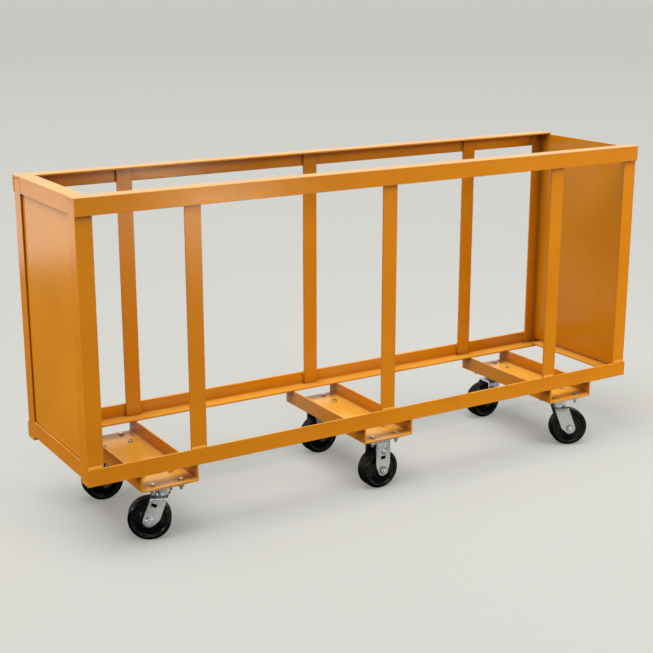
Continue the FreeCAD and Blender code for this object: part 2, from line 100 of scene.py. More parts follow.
def orange_enamel(name, coat, waves, top_highlight):
    """Alkyd enamel, sprayed: a glossy film that drifts between a lean and a rich coat, with fine orange
    peel over the waves of the steel. Sharp edges are painted a little pale, partly a thin coat and partly a
    painted highlight; corners and faces under flanges are painted browner as painted shade. Here and there
    an edge is chipped to the dark steel, and what faces up is painted a patchy yellow as a painted highlight."""
    cloud_size = 240 * mm
    speck_size = 9 * mm
    peel_size = 3.0 * mm
    peel_height = 0.012 * mm
    wave_length, wave_height = waves
    corner_shade_reach = 45 * mm
    overhang_shade_reach = 30 * mm
    edge_reach = 1.4 * mm
    lean_to_sky = (0, 0, 0.9)
    edge_coat_and_highlight = 0.25
    top_highlight_patches = (0.7 * top_highlight, 1.3 * top_highlight)
    roughness = (0.16, 0.27)
    chip_roughness = 0.6
    lean_film, rich_film = (linear(colour) for colour in coat)
    # Below: a brown for painted shade, a pale edge tone that is part thin coat and part painted highlight,
    # chipped steel, and a yellow for a painted highlight on top faces
    painted_shade_brown = linear("#6E2E14")
    thin_coat_and_highlight = linear("#E2A04A")
    dark_steel = linear("#4A3526")
    painted_top_highlight = linear("#EBC25A")
    amber_gloss = linear("#FFF2D2")
    material = bpy.data.materials.new(name)
    material.use_nodes = True
    tree = material.node_tree
    shader = tree.nodes["Principled BSDF"]
    place = add(tree, "TexCoord", {}).outputs["Object"]
    cloud = add(tree, "TexNoise", {"Vector": place, "Scale": 1 / cloud_size, "Detail": 3.0}).outputs["Fac"]
    speck = add(tree, "TexNoise", {"Vector": place, "Scale": 1 / speck_size, "Detail": 4.0}).outputs["Fac"]
    peel = add(tree, "TexNoise", {"Vector": place, "Scale": 1 / peel_size, "Detail": 1.0}).outputs["Fac"]
    wave = add(tree, "TexNoise", {"Vector": place, "Scale": 1 / wave_length, "Detail": 1.0}).outputs["Fac"]
    # Colour: slow film drift, painted shade in corners and undersides, painted pale edges, chips, painted top
    # highlight
    drift = add(tree, "MapRange", {"Value": cloud, "From Min": 0.3, "From Max": 0.7}).outputs[0]
    film = add(tree, "Mix", {0: drift, 6: lean_film, 7: rich_film}, data_type="RGBA").outputs[2]
    facing = add(tree, "NewGeometry", {}).outputs["True Normal"]
    leaning = add(tree, "VectorMath", {0: facing, 1: lean_to_sky}, operation="ADD").outputs["Vector"]
    skyward = add(tree, "VectorMath", {0: leaning}, operation="NORMALIZE").outputs["Vector"]
    # Painted shade: where nearby steel closes in, or overhangs from above, the film turns brown
    opened = add(tree, "AmbientOcclusion", {"Distance": corner_shade_reach}, samples=6).outputs["AO"]
    open_overhead = add(tree, "AmbientOcclusion", {"Distance": overhang_shade_reach, "Normal": skyward},
                     samples=6).outputs["AO"]
    least_open = add(tree, "Math", {0: opened, 1: open_overhead}, operation="MINIMUM").outputs[0]
    painted_corner_shade = add(tree, "MapRange", {"Value": least_open, "From Min": 0.85, "From Max": 0.2,
                                    "To Max": 0.95}).outputs[0]
    film = add(tree, "Mix", {0: painted_corner_shade, 6: film, 7: painted_shade_brown}, data_type="RGBA").outputs[2]
    # Pale edges: partly a thinner coat, partly a painted highlight
    eased = add(tree, "Bevel", {"Radius": edge_reach}, samples=6).outputs["Normal"]
    agree = add(tree, "VectorMath", {0: eased, 1: facing}, operation="DOT_PRODUCT").outputs["Value"]
    edge = add(tree, "MapRange", {"Value": agree, "From Min": 0.99, "From Max": 0.8}).outputs[0]
    thin = add(tree, "Math", {0: edge, 1: edge_coat_and_highlight}, operation="MULTIPLY").outputs[0]
    film = add(tree, "Mix", {0: thin, 6: film, 7: thin_coat_and_highlight}, data_type="RGBA").outputs[2]
    picked = add(tree, "MapRange", {"Value": speck, "From Min": 0.66, "From Max": 0.70}).outputs[0]
    chip = add(tree, "Math", {0: edge, 1: picked}, operation="MULTIPLY").outputs[0]
    film = add(tree, "Mix", {0: chip, 6: film, 7: dark_steel}, data_type="RGBA").outputs[2]
    # Painted highlight: faces turned up are painted a patchy yellow
    upward = add(tree, "SeparateXYZ", {0: facing}).outputs["Z"]
    patchy = add(tree, "MapRange", {"Value": cloud, "From Min": 0.3, "From Max": 0.7,
                                    "To Min": top_highlight_patches[0], "To Max": top_highlight_patches[1]}).outputs[0]
    laid = add(tree, "MapRange", {"Value": upward, "From Min": 0.6, "From Max": 0.95,
                                  "To Max": patchy}).outputs[0]
    film = add(tree, "Mix", {0: laid, 6: film, 7: painted_top_highlight}, data_type="RGBA").outputs[2]
    tree.links.new(film, shader.inputs["Base Color"])
    shader.inputs["Specular IOR Level"].default_value = 0.4
    shader.inputs["Specular Tint"].default_value = amber_gloss
    # Gloss: hazier where the spray landed dry, dull in chips
    hazy = add(tree, "MapRange", {"Value": speck, "From Min": 0.3, "From Max": 0.75,
                                  "To Min": roughness[0], "To Max": roughness[1]}).outputs[0]
    gloss = add(tree, "Mix", {0: chip, 2: hazy, 3: chip_roughness}).outputs[0]
    tree.links.new(gloss, shader.inputs["Roughness"])
    # Relief: rolling waves of the steel below, orange peel on top
    rolled = add(tree, "Bump", {"Height": wave, "Distance": wave_height, "Normal": eased}).outputs[0]
    relief = add(tree, "Bump", {"Height": peel, "Distance": peel_height, "Normal": rolled}).outputs[0]
    tree.links.new(relief, shader.inputs["Normal"])
    return material


def dress(names, material):
    """Gives CAD nodes their finish."""
    for name in names:
        frame["nodes"][name].material_slots[0].material = material


bars = [name for name in frame["nodes"] if name.startswith(("top_", "bottom_", "corner_post", "slat_"))]
dress(bars, orange_enamel("orange_enamel_on_bars", bar_coat, bar_waves, bar_top_highlight))

# Weld beads of the frame
# Mild-steel weld metal, laid by hand along the feet and edges of the uprights and across the rails' butts.
# It was painted as laid, with its ripples; only the butts at the front were ground nearly flush.
ripple_pitch = 3.2 * mm
ripple_rows = 6
ripple_depth = 0.07
ripple_bow = 1.3
swell_length = 7 * ripple_pitch
swell_depth = 0.06
swell_shift = 50
bead_columns = 16
nose_length = 5 * mm
post_bead = (5.5 * mm, 7.5 * mm)
slat_bead = (4.5 * mm, 5.0 * mm)
edge_bead = (4.5 * mm, 4.5 * mm)
corner_bead = (5.0 * mm, 1.2 * mm)
butt_bead = (6.5 * mm, 3.0 * mm)
butt_depth = 2.0 * mm
ground_bead = (20.0 * mm, 3.2 * mm)
ground_depth = 3.0 * mm
ground_waves = 0.1
bead_end_gap = 1.5 * mm
flat_leg_clear = 8 * mm
# The beads' coat is a little yellower than the bars', as a painted highlight
bead_coat_with_highlight = ("#C87C0D", "#D28812")
bead_top_highlight = 0.3
merge_gap = 0.001 * mm
chamfer_turn = math.radians(28)
X_AXIS, Y_AXIS, Z_AXIS = np.eye(3)


def weld_bead(start, end, across, out, size, flatness=1.5, waves=1.0):
    """A tube along a straight run, centred on the joint: cosine and sine to the power of the flatness, so
    1 is an oval and 2 a flat fillet. Its reach is the bead's size times a ripple, a cosine of the way
    along whose crests bow forward at the crown, times a slow uneven swell, and it shrinks as a circle
    does to a nose at each end. Ripple and swell are as deep as waves says, so a ground bead has hardly
    any."""
    run = end - start
    length = np.linalg.norm(run)
    rows = int(length / ripple_pitch) * ripple_rows
    share = np.linspace(0, 1, rows + 1)[:, None]
    angle = np.linspace(0, 2 * np.pi, bead_columns, endpoint=False)[None, :]
    nose = 1 - np.clip(np.minimum(share, 1 - share) * length / nose_length, 0, 1)
    bow = ripple_bow * np.cos(angle - np.pi / 4)
    ripple = 1 + ripple_depth * waves * np.cos(2 * np.pi * share * length / ripple_pitch - bow)
    uneven = 2 * np.pi * share * length / swell_length + swell_shift * start.sum()
    swell = 1 + swell_depth * waves * np.sin(uneven)
    reach = np.sqrt(1 - nose ** 2) * ripple * swell
    level = np.sign(np.cos(angle)) * np.abs(np.cos(angle)) ** flatness
    raised = np.sign(np.sin(angle)) * np.abs(np.sin(angle)) ** flatness
    section = size[0] * level[..., None] * across + size[1] * raised[..., None] * out
    return start + share[..., None] * run + reach[..., None] * section


def skin(name, grids, material, body):
    """One mesh from grids of points, rows by columns: columns close round on themselves, and a row that
    shrinks to a point is a pole. Doubles merge, faces turn outward, and only edges sharper than a chamfer
    stay sharp."""
    starts = np.cumsum([0] + [grid.shape[0] * grid.shape[1] for grid in grids])
    faces = []
    for start, grid in zip(starts, grids):
        index = start + np.arange(grid.shape[0] * grid.shape[1]).reshape(grid.shape[:2])
        beside = np.roll(index, -1, axis=1)
        faces.append(np.stack([index[:-1], beside[:-1], beside[1:], index[1:]], axis=-1).reshape(-1, 4))
    points = np.concatenate([grid.reshape(-1, 3) for grid in grids])
    mesh = bpy.data.meshes.new(name)
    mesh.from_pydata(points.tolist(), [], np.concatenate(faces).tolist())
    shell = bmesh.new()
    shell.from_mesh(mesh)
    bmesh.ops.remove_doubles(shell, verts=shell.verts, dist=merge_gap)
    bmesh.ops.recalc_face_normals(shell, faces=shell.faces)
    shell.to_mesh(mesh)
    shell.free()
    mesh.shade_smooth()
    mesh.set_sharp_from_angle(angle=chamfer_turn)
    mesh.materials.append(material)
    piece = bpy.data.objects.new(name, mesh)
    bpy.context.scene.collection.objects.link(piece)
    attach(piece, body)
    return piece


def corners_of(node):
    """A node's lowest and highest corner as arrays."""
    low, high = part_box(node)
    return np.array(low), np.array(high)


sides = (("front", -1), ("back", 1))
ends = (("left", -1), ("right", 1))
foot_beads = []
edge_beads = []
for side_name, side in sides:
    ledge = corners_of("bottom_rail_" + side_name)[1][2]
    sill = corners_of("top_rail_" + side_name)[0][2]
    posts = ["corner_post_%s_%s" % (side_name, end_name) for end_name, end in ends]
    slats = [name for name in frame["nodes"] if name.startswith("slat_" + side_name)]
    for upright in posts + slats:
        low, high = corners_of(upright)
        face = low[1] if side < 0 else high[1]
        foot_beads.append(weld_bead(np.array((low[0] + bead_end_gap, face, ledge)),
                                    np.array((high[0] - bead_end_gap, face, ledge)),
                                    Y_AXIS * side, Z_AXIS, post_bead if upright in posts else slat_bead))
        edges = [(low[0], -1), (high[0], 1)]
        # A post has only its inner edge open
        if upright == posts[0]:
            edges = edges[1:]
        if upright == posts[1]:
            edges = edges[:1]
        spans = [(low[2] + flat_leg_clear, ledge - bead_end_gap),
                 (sill + bead_end_gap, high[2] - flat_leg_clear)]
        for edge, beside in edges:
            for bottom, top in spans:
                edge_beads.append(weld_bead(np.array((edge, face, bottom)), np.array((edge, face, top)),
                                            X_AXIS * beside, Y_AXIS * -side, edge_bead))
corner_beads = []
for side_name, side in sides:
    for end_name, end in ends:
        post_low, post_high = corners_of("corner_post_%s_%s" % (side_name, end_name))
        post_end = post_low[0] if end < 0 else post_high[0]
        face = post_low[1] if side < 0 else post_high[1]
        for rail in ("bottom_rail_" + side_name, "top_rail_" + side_name):
            rail_low, rail_high = corners_of(rail)
            top = min(rail_high[2], post_high[2])
            corner_beads.append(weld_bead(np.array((post_end, face, rail_low[2] + bead_end_gap)),
                                          np.array((post_end, face, top - bead_end_gap)),
                                          Y_AXIS * -side, X_AXIS * end, corner_bead))
butt_beads = []
for rail in ("bottom_rail_left", "bottom_rail_right", "top_rail_left", "top_bar_right"):
    low, high = corners_of(rail)
    end_name, end = ends[0] if rail.endswith("left") else ends[1]
    face = low[0] if end < 0 else high[0]
    for side_name, side in sides:
        post_low, post_high = corners_of("corner_post_%s_%s" % (side_name, end_name))
        butt = post_high[1] if side < 0 else post_low[1]
        top = min(high[2], post_high[2])
        size, depth, waves = butt_bead, butt_depth, 1.0
        if side < 0:
            size, depth, waves = ground_bead, ground_depth, ground_waves
        # The oval's middle lies inside the steel, so only its low crown stands out
        middle = face - end * depth
        butt_beads.append(weld_bead(np.array((middle, butt, low[2] + bead_end_gap)),
                                    np.array((middle, butt, top - bead_end_gap)),
                                    Y_AXIS, X_AXIS * end, size, 1.0, waves))
bead_enamel = orange_enamel("orange_enamel_on_welds", bead_coat_with_highlight, bar_waves, bead_top_highlight)
skin("weld_beads_at_feet", foot_beads, bead_enamel, "frame")
skin("weld_beads_at_edges", edge_beads, bead_enamel, "frame")
skin("weld_beads_at_corners", corner_beads, bead_enamel, "frame")
skin("weld_beads_at_end_rails", butt_beads, bead_enamel, "frame")

# End panels
# Thin mild-steel sheet, sheared to size, stitched to the inside of the end rails and painted with the frame.
# Sheet that thin buckles a little between its welds, so its waves are longer and deeper than a bar's.
sheet_coat = ("#C87C0C", "#D08410")
sheet_waves = (210 * mm, 0.9 * mm)
sheet_top_highlight = 0.25
stitch_bead = (4.0 * mm, 3.4 * mm)
stitch_length = 34 * mm
upright_stitches = 5
level_stitches = 3


def stitches(start, end, count, across, out):
    """Short beads spaced evenly along an edge, each centred in its own share of the run."""
    run = end - start
    middles = start + run * ((np.arange(count) + 0.5) / count)[:, None]
    half = run / np.linalg.norm(run) * stitch_length / 2
    return [weld_bead(middle - half, middle + half, across, out, stitch_bead) for middle in middles]


dress(["end_panel_left", "end_panel_right"],
      orange_enamel("orange_enamel_on_sheet", sheet_coat, sheet_waves, sheet_top_highlight))
panel_beads = []
for end_name, end in ends:
    low, high = corners_of("end_panel_" + end_name)
    back = low[0] if end < 0 else high[0]
    inward = X_AXIS * -end
    for edge, beside in ((low[1], -1), (high[1], 1)):
        panel_beads += stitches(np.array((back, edge, low[2])), np.array((back, edge, high[2])),
                                upright_stitches, Y_AXIS * beside, inward)
    panel_beads += stitches(np.array((back, low[1], low[2])), np.array((back, high[1], low[2])),
                            level_stitches, -Z_AXIS, inward)
skin("weld_stitches_of_panels", panel_beads, bead_enamel, "frame")

# Caster channels
# Mild-steel channel, its flanges welded up to the bottom rails, sprayed with the frame from above.
# Flat and level, the web is the smoothest face of all, and facing up it is painted with the yellow top
# highlight.
channel_coat = ("#C2760B", "#CC800E")
channel_waves = (160 * mm, 0.12 * mm)
channel_top_highlight = 0.3
channel_bead = (5.5 * mm, 5.5 * mm)
channels = [name for name in frame["nodes"] if name.startswith("caster_channel")]
dress(channels, orange_enamel("orange_enamel_on_channels", channel_coat, channel_waves, channel_top_highlight))
channel_beads = []
for channel in channels:
    low, high = corners_of(channel)
    for rail in ("bottom_rail_front", "bottom_rail_back"):
        rail_low, rail_high = corners_of(rail)
        for edge, beside in ((low[0], -1), (high[0], 1)):
            channel_beads.append(weld_bead(np.array((edge, rail_low[1] + bead_end_gap, high[2])),
                                           np.array((edge, rail_high[1] - bead_end_gap, high[2])),
                                           X_AXIS * beside, -Z_AXIS, channel_bead))
skin("weld_beads_of_channels", channel_beads, bead_enamel, "frame")

# Caster plates and kingpins
# Pressed and drawn steel with bright zinc plate, bolted up under the channels; the kingpin is flush in its
# plate. The plating is thin and clear, so it keeps the grain of the sheet and a faint blue and straw bloom.
# Cool and warm zinc, and a dark grey for painted shade in corners
zinc_tones = ("#C8CACF", "#CECCC8", "#555351")
pressed_roughness = 0.38


def bare_metal(name, tones, roughest):
    """Plated or ground steel: a grey metal that drifts between a cool and a warm tone, with fine grain,
    smeared handling marks, and a dull dark tone painted into corners as painted shade."""
    bloom_size = 30 * mm
    smear_size = 14 * mm
    grain_size = 1.6 * mm
    grain_height = 0.002 * mm
    edge_reach = 0.9 * mm
    corner_shade_reach = 12 * mm
    smoothest = 0.22
    cool, warm, dull = (linear(colour) for colour in tones)
    material = bpy.data.materials.new(name)
    material.use_nodes = True
    tree = material.node_tree
    shader = tree.nodes["Principled BSDF"]
    shader.inputs["Metallic"].default_value = 1.0
    place = add(tree, "TexCoord", {}).outputs["Object"]
    bloom = add(tree, "TexNoise", {"Vector": place, "Scale": 1 / bloom_size, "Detail": 3.0}).outputs["Fac"]
    smear = add(tree, "TexNoise", {"Vector": place, "Scale": 1 / smear_size, "Detail": 1.0}).outputs["Fac"]
    grain = add(tree, "TexNoise", {"Vector": place, "Scale": 1 / grain_size, "Detail": 2.0}).outputs["Fac"]
    drift = add(tree, "MapRange", {"Value": bloom, "From Min": 0.35, "From Max": 0.65}).outputs[0]
    metal = add(tree, "Mix", {0: drift, 6: cool, 7: warm}, data_type="RGBA").outputs[2]
    # Painted shade: corners closed in by nearby parts turn to the dull tone
    opened = add(tree, "AmbientOcclusion", {"Distance": corner_shade_reach}, samples=16).outputs["AO"]
    painted_metal_shade = add(tree, "MapRange", {"Value": opened, "From Min": 0.75, "From Max": 0.3,
                                    "To Max": 0.7}).outputs[0]
    metal = add(tree, "Mix", {0: painted_metal_shade, 6: metal, 7: dull}, data_type="RGBA").outputs[2]
    tree.links.new(metal, shader.inputs["Base Color"])
    rough = add(tree, "MapRange", {"Value": smear, "From Min": 0.3, "From Max": 0.7,
                                   "To Min": smoothest, "To Max": roughest}).outputs[0]
    tree.links.new(rough, shader.inputs["Roughness"])
    eased = add(tree, "Bevel", {"Radius": edge_reach}, samples=6).outputs["Normal"]
    relief = add(tree, "Bump", {"Height": grain, "Distance": grain_height, "Normal": eased}).outputs[0]
    tree.links.new(relief, shader.inputs["Normal"])
    return material


plates = [name for name in frame["nodes"] if "_plate_" in name]
dress(plates + ["kingpins", "kingpin_nuts"],
      bare_metal("zinc_plate_on_pressed_steel", zinc_tones, pressed_roughness))

# Mounting bolts, washers and nuts
# Steel hexagon bolts with rolled threads, zinc plated: heads up on the channel webs, a flat washer and a nut
# under each caster plate, and a few threads showing below the nut.
bolt_radius = 4.75 * mm
bolt_across = 14.3 * mm
bolt_head_height = 6.4 * mm
bolt_pitch = 1.6 * mm
bolt_spread = (46.05 * mm, 38.1 * mm)
washer_radius = 8.6 * mm
washer_round = 0.35 * mm
hex_columns = 48
hex_face_share = 0.95
hex_chamfer = 0.09
hex_chamfer_rows = 6
hex_cone = math.tan(math.radians(60))
thread_rows = 6
thread_depth = 0.55
thread_tip = 0.8
fastener_roughness = 0.3
columns = np.linspace(0, 2 * np.pi, hex_columns, endpoint=False)


def turned(origin, axis, side, heights, reach):
    """Grid round an axis: each row at its height along the axis, each column at its angle from side, as
    far out as reach says for that row and column."""
    spokes = np.cos(columns)[:, None] * side + np.sin(columns)[:, None] * np.cross(axis, side)
    return origin + heights[:, None, None] * axis + reach[..., None] * spokes


def ring(radius):
    """One row of the same reach all round."""
    return np.full((1, hex_columns), radius)


def hex_bar(low, high, across):
    """Heights and reach of a hexagon: half its width over the cosine of the angle from the nearest flat's
    middle, cut down by a cone at both ends."""
    chamfer = np.linspace(0, hex_chamfer * across, hex_chamfer_rows)
    heights = np.concatenate([low + chamfer, high - chamfer[::-1]])
    from_flat = (columns + np.pi / 6) % (np.pi / 3) - np.pi / 6
    cone = hex_face_share * across / 2 + np.minimum(heights - low, high - heights) * hex_cone
    return heights, np.minimum(across / 2 / np.cos(from_flat)[None, :], cone[:, None])


def screw(low, high, radius, pitch):
    """Heights and reach of a screw thread: a V that climbs one pitch a turn, its first turn coned off."""
    heights = np.linspace(low, high, int((high - low) / pitch * thread_rows) + 1)
    turn = heights[:, None] / pitch - columns[None, :] / (2 * np.pi)
    depth = thread_depth * pitch * np.abs(2 * (turn % 1) - 1)
    cone = thread_tip * radius + np.abs(heights - low)[:, None]
    return heights, np.minimum(radius - depth, cone)


def hex_bolt(origin, axis, side, tip, seat, top, radius, across, pitch, threaded):
    """Bolt from its tip to the top of its head: a pole, the thread, a plain shank, the head, a pole."""
    thread_heights, thread_reach = screw(tip, tip + threaded, radius, pitch)
    head_heights, head_reach = hex_bar(seat, top, across)
    heights = np.concatenate([[tip], thread_heights, [tip + threaded, seat], head_heights, [top]])
    reach = np.concatenate([ring(0), thread_reach, ring(radius), ring(radius), head_reach, ring(0)])
    return turned(origin, axis, side, heights, reach)


def hex_nut(origin, axis, side, low, high, bore, across):
    """Nut between two heights: its bore, one end, the hexagon, the other end, and the bore again."""
    heights, reach = hex_bar(low, high, across)
    heights = np.concatenate([[low], heights, [high, low]])
    return turned(origin, axis, side, heights, np.concatenate([ring(bore), reach, ring(bore), ring(bore)]))


def tube(origin, axis, side, low, high, bore, radius, ease):
    """Washer or bush: bore, one end, an eased edge, outside, the other eased edge and end, bore again."""
    heights = np.array([low, low, low + ease, high - ease, high, high, low])
    radii = (bore, radius - ease, radius, radius, radius - ease, bore, bore)
    return turned(origin, axis, side, heights, np.concatenate([ring(radius) for radius in radii]))


bolt_tip, bolt_top = (corner[2] for corner in corners_of("mounting_bolts"))
nut_low, nut_high = (corner[2] for corner in corners_of("mounting_nuts"))
washer_low, washer_high = (corner[2] for corner in corners_of("mounting_washers"))
bolts = []
nuts = []
washers = []
for plate in plates:
    low, high = corners_of(plate)
    middle = (low + high) / 2 * (1, 1, 0)
    for along in (-1, 1):
        for across in (-1, 1):
            origin = middle + (along * bolt_spread[0], across * bolt_spread[1], 0)
            # Each fastener was left at its own angle by the wrench
            twist = 97 * along + 41 * across + 23 * origin[0] + 61 * origin[1]
            bolt_side = X_AXIS * math.cos(twist) + Y_AXIS * math.sin(twist)
            nut_side = X_AXIS * math.cos(2 * twist) + Y_AXIS * math.sin(2 * twist)
            bolts.append(hex_bolt(origin, Z_AXIS, bolt_side, bolt_tip, bolt_top - bolt_head_height, bolt_top,
                                  bolt_radius, bolt_across, bolt_pitch, nut_low - bolt_tip + bolt_pitch))
            nuts.append(hex_nut(origin, Z_AXIS, nut_side, nut_low, nut_high, bolt_radius, bolt_across))
            washers.append(tube(origin, Z_AXIS, bolt_side, washer_low, washer_high, bolt_radius,
                                washer_radius, washer_round))
fastener_zinc = bare_metal("zinc_plate_on_fasteners", zinc_tones, fastener_roughness)
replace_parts(skin("hexagon_bolts", bolts, fastener_zinc, "frame"), "mounting_bolts")
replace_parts(skin("hexagon_nuts", nuts, fastener_zinc, "frame"), "mounting_nuts")
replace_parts(skin("flat_washers", washers, fastener_zinc, "frame"), "mounting_washers")

# Swivel balls and roller bearings
# Ground steel balls in the swivel races and rollers caged round each bush, wet with a film of grease.
# They rub themselves bright, and are painted dark brown in their corners as painted shade.
# Cool and warm steel, and a dark brown for painted shade in corners
bearing_tones = ("#A9A7A3", "#B2ADA2", "#4E4637")
bearing_roughness = 0.24
corners = ["front_left", "front_right", "back_left", "back_right"]
middles = ["front_middle", "back_middle"]
places = corners + middles
dress(["swivel_balls"] + ["roller_bearing_" + place for place in places],
      bare_metal("ground_bearing_steel", bearing_tones, bearing_roughness))

# Caster forks
# Steel sheet pressed into a U with tapered legs, zinc plated: the swivelling ones hang on their kingpins and
# balls, and the middle pair are welded to their plates. Their sheared edges are tumbled round.
fork_edge = 1.0 * mm
fork_edge_rows = 3
fork_edge_turn = math.radians(35)
fork_flat_turn = math.radians(0.5)
fork_roughness = 0.3
fork_zinc = bare_metal("zinc_plate_on_forks", zinc_tones, fork_roughness)


def pressed_fork(name, node, body):
    """A copy of a fork's CAD mesh, its triangles merged into whole faces and its sharp edges rounded."""
    source = frame["nodes"][node]
    shell = bmesh.new()
    shell.from_mesh(source.data)
    bmesh.ops.transform(shell, matrix=source.matrix_world, verts=shell.verts)
    bmesh.ops.remove_doubles(shell, verts=shell.verts, dist=merge_gap)
    bmesh.ops.dissolve_limit(shell, angle_limit=fork_flat_turn, verts=shell.verts, edges=shell.edges)
    bmesh.ops.recalc_face_normals(shell, faces=shell.faces)
    mesh = bpy.data.meshes.new(name)
    shell.to_mesh(mesh)
    shell.free()
    mesh.shade_smooth()
    mesh.set_sharp_from_angle(angle=fork_edge_turn)
    mesh.materials.append(fork_zinc)
    piece = bpy.data.objects.new(name, mesh)
    bpy.context.scene.collection.objects.link(piece)
    ease = piece.modifiers.new("eased_edges", "BEVEL")
    ease.limit_method = "ANGLE"
    ease.angle_limit = fork_edge_turn
    ease.width = fork_edge
    ease.segments = fork_edge_rows
    ease.harden_normals = False
    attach(piece, body)
    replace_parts(piece, node)


for corner in corners:
    pressed_fork("pressed_fork_" + corner, "swivel_fork_" + corner, "swivel_" + corner)
for middle in middles:
    pressed_fork("pressed_fork_" + middle, "rigid_fork_" + middle, "frame")

# Axles
# Steel hexagon bolts with a nut and a plain steel bush between the fork legs, zinc plated: the nut clamps the
# legs on the bush, and the wheel's roller bearing runs round the bush.
axle_radius = 6.35 * mm
axle_across = 22.2 * mm
axle_pitch = 1.8 * mm
axle_head = 8 * mm
axle_nut = 11 * mm
axle_thread_out = 3 * mm
axle_roughness = 0.3
fork_outer = 34 * mm
fork_inner = 29 * mm
bush_radius = 9.45 * mm
bush_round = 0.5 * mm
rolls = {joint["name"].replace("wheel_roll_", ""): joint for joint in frame["joints"]
         if "wheel_roll" in joint["name"]}
axle_zinc = bare_metal("zinc_plate_on_axles", zinc_tones, axle_roughness)


def axle_parts(place):
    """Bolt, nut and bush of one axle, along its wheel's own axis, the head on the axis's far side."""
    centre = np.array(rolls[place]["pos_m"])
    axis = np.array(rolls[place]["axis"])
    level = np.cross(axis, Z_AXIS)
    # Each head and nut stopped at its own angle
    tilt = 3 * centre.sum()
    side = Z_AXIS * math.cos(tilt) + level * math.sin(tilt)
    nut_side = Z_AXIS * math.cos(5 * tilt) + level * math.sin(5 * tilt)
    nut_end = -fork_outer - axle_nut
    bolt = hex_bolt(centre, axis, side, nut_end - axle_thread_out, fork_outer, fork_outer + axle_head,
                    axle_radius, axle_across, axle_pitch, axle_thread_out + axle_pitch)
    nut = hex_nut(centre, axis, nut_side, nut_end, -fork_outer, axle_radius, axle_across)
    bush = tube(centre, axis, side, -fork_inner, fork_inner, axle_radius, bush_radius, bush_round)
    return bolt, nut, bush


for corner in corners:
    piece = skin("axle_bolt_nut_bush_" + corner, axle_parts(corner), axle_zinc, "swivel_" + corner)
    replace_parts(piece, "axle_set_" + corner)
rigid_axles = [axle_parts(middle) for middle in middles]
for name, node, part, slot in (("axle_bolts_middle", "rigid_axle_bolts", 0, "zinc_plate"),
                               ("axle_nuts_middle", "rigid_axle_nuts", 1, "zinc_plate"),
                               ("axle_bushes_middle", "rigid_axle_bushes", 2, "bearing_steel")):
    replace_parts(skin(name, [axle[part] for axle in rigid_axles], axle_zinc, "frame"), node)

# Wheels
# Hard black polymer, moulded in one piece round the bearing, with a flat tread and a ringed web.
# The mould was polished, so the rings glint and their edges carry a painted highlight;
# the tread is already dull from rolling.
wheel_low, wheel_high = corners_of("wheel_front_middle")
tread_radius = (wheel_high[2] - wheel_low[2]) / 2 / mm
hub_ring = 30
web_ring = tread_radius - 12.5
wheel_columns = 144
wheel_row = 1.5
arc_rows = 8
flash_height = 0.15 * mm
flash_width = 1.2 * mm
flash_band = 0.5 * mm
gate_depth = 0.7 * mm
gate_radius = 3.2 * mm
gate_place = 40.5 * mm
# Half-section corners in millimetres: reach from the axle, offset from the middle, corner radius
wheel_section = [(14.95, 28.5, 0), (22, 28.5, 1), (25, 23.4, 1), (hub_ring, 23.4, 2.2), (33, 19.4, 6),
                 (tread_radius - 15.5, 19.4, 6), (web_ring, 25.4, 2.5), (tread_radius, 25.4, 10)]


